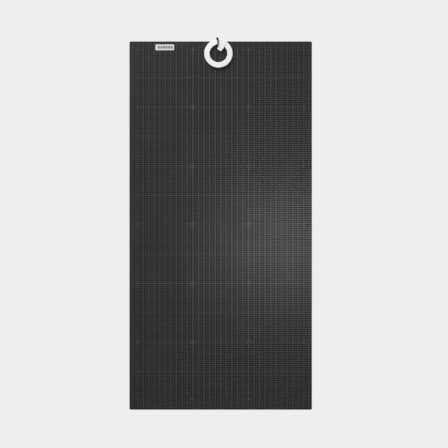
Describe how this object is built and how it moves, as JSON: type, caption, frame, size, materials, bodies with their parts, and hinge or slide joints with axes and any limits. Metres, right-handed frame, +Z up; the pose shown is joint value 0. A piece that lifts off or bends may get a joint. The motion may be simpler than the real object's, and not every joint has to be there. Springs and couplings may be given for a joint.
{
  "type": "flexible solar panel",
  "caption": "Thin flexible solar sheet with half-cut cells under a woven front, a rear junction box and a tied hanging ring with a sprung gate.",
  "frame": {"origin": "centre of the laminate's rear face", "axes": "+Z up towards the hanging ring, +X to the right seen from the front, +Y out of the rear face; the front faces -Y"},
  "size_m": [0.54, 0.0323, 1.1017],
  "materials": {
    "woven_front": "dark woven glass-fibre composite with a soft sheen",
    "encapsulant": "clear film that looks dark between black layers",
    "back_sheet": "black matt film with a fine weave",
    "cell": "dark monocrystalline silicon",
    "ribbon": "tinned copper strip",
    "label": null,
    "ring_plastic": "white satin moulded plastic",
    "steel": "turned pin",
    "cord": "black braided cord",
    "eyelet": "black oxide",
    "box_plastic": "fine spark-eroded moulding",
    "seal": "soft foam rubber",
    "terminal": "milled",
    "diode": "moulded epoxy",
    "gland": "moulded nylon"
  },
  "bodies": {
    "sheet": {"cell_a01": "cell", "cell_a02": "cell", "cell_a03": "cell", "cell_a04": "cell", "cell_a05": "cell", "cell_a06": "cell", "cell_a07": "cell", "cell_a08": "cell", "cell_a09": "cell", "cell_a10": "cell", "cell_a11": "cell", "cell_a12": "cell", "cell_b01": "cell", "cell_b02": "cell", "cell_b03": "cell", "cell_b04": "cell", "cell_b05": "cell", "cell_b06": "cell", "cell_b07": "cell", "cell_b08": "cell", "cell_b09": "cell", "cell_b10": "cell", "cell_b11": "cell", "cell_b12": "cell", "cell_c01": "cell", "cell_c02": "cell", "cell_c03": "cell", "cell_c04": "cell", "cell_c05": "cell", "cell_c06": "cell", "cell_c07": "cell", "cell_c08": "cell", "cell_c09": "cell", "cell_c10": "cell", "cell_c11": "cell", "cell_c12": "cell", "front_sheet": "woven_front", "front_encapsulant": "encapsulant", "rear_encapsulant": "encapsulant", "rear_sheet": "back_sheet", "string_link_bottom": "ribbon", "string_link_top": "ribbon", "ribbon_plus": "ribbon", "ribbon_minus": "ribbon", "eyelet": "eyelet", "label": "label", "link_cord": "cord", "junction_box_base": "box_plastic", "junction_box_seal": "seal", "junction_box_lid": "box_plastic", "terminal_plus": "terminal", "terminal_mid": "terminal", "terminal_minus": "terminal", "bypass_diode_1": "diode", "bypass_diode_2": "diode", "gland_plus": "gland", "gland_minus": "gland"},
    "ring": {"hang_ring": "ring_plastic", "gate_pin": "steel"},
    "gate": {"ring_gate": "ring_plastic"}
  },
  "joints": [
    {"name": "ring_swing", "type": "hinge", "parent": "sheet", "child": "ring", "pos_m": [-0.0065, -0.008, 0.549], "axis": [-1, 0, 0], "range_deg": [0, 172], "deforming": ["link_cord"]},
    {"name": "gate_open", "type": "hinge", "parent": "ring", "child": "gate", "pos_m": [0.0126, -0.008, 0.53032], "axis": [0, -1, 0], "range_deg": [0, 28], "stiffness_Nm_per_rad": 0.05, "springref_deg": -9.74}
  ]
}
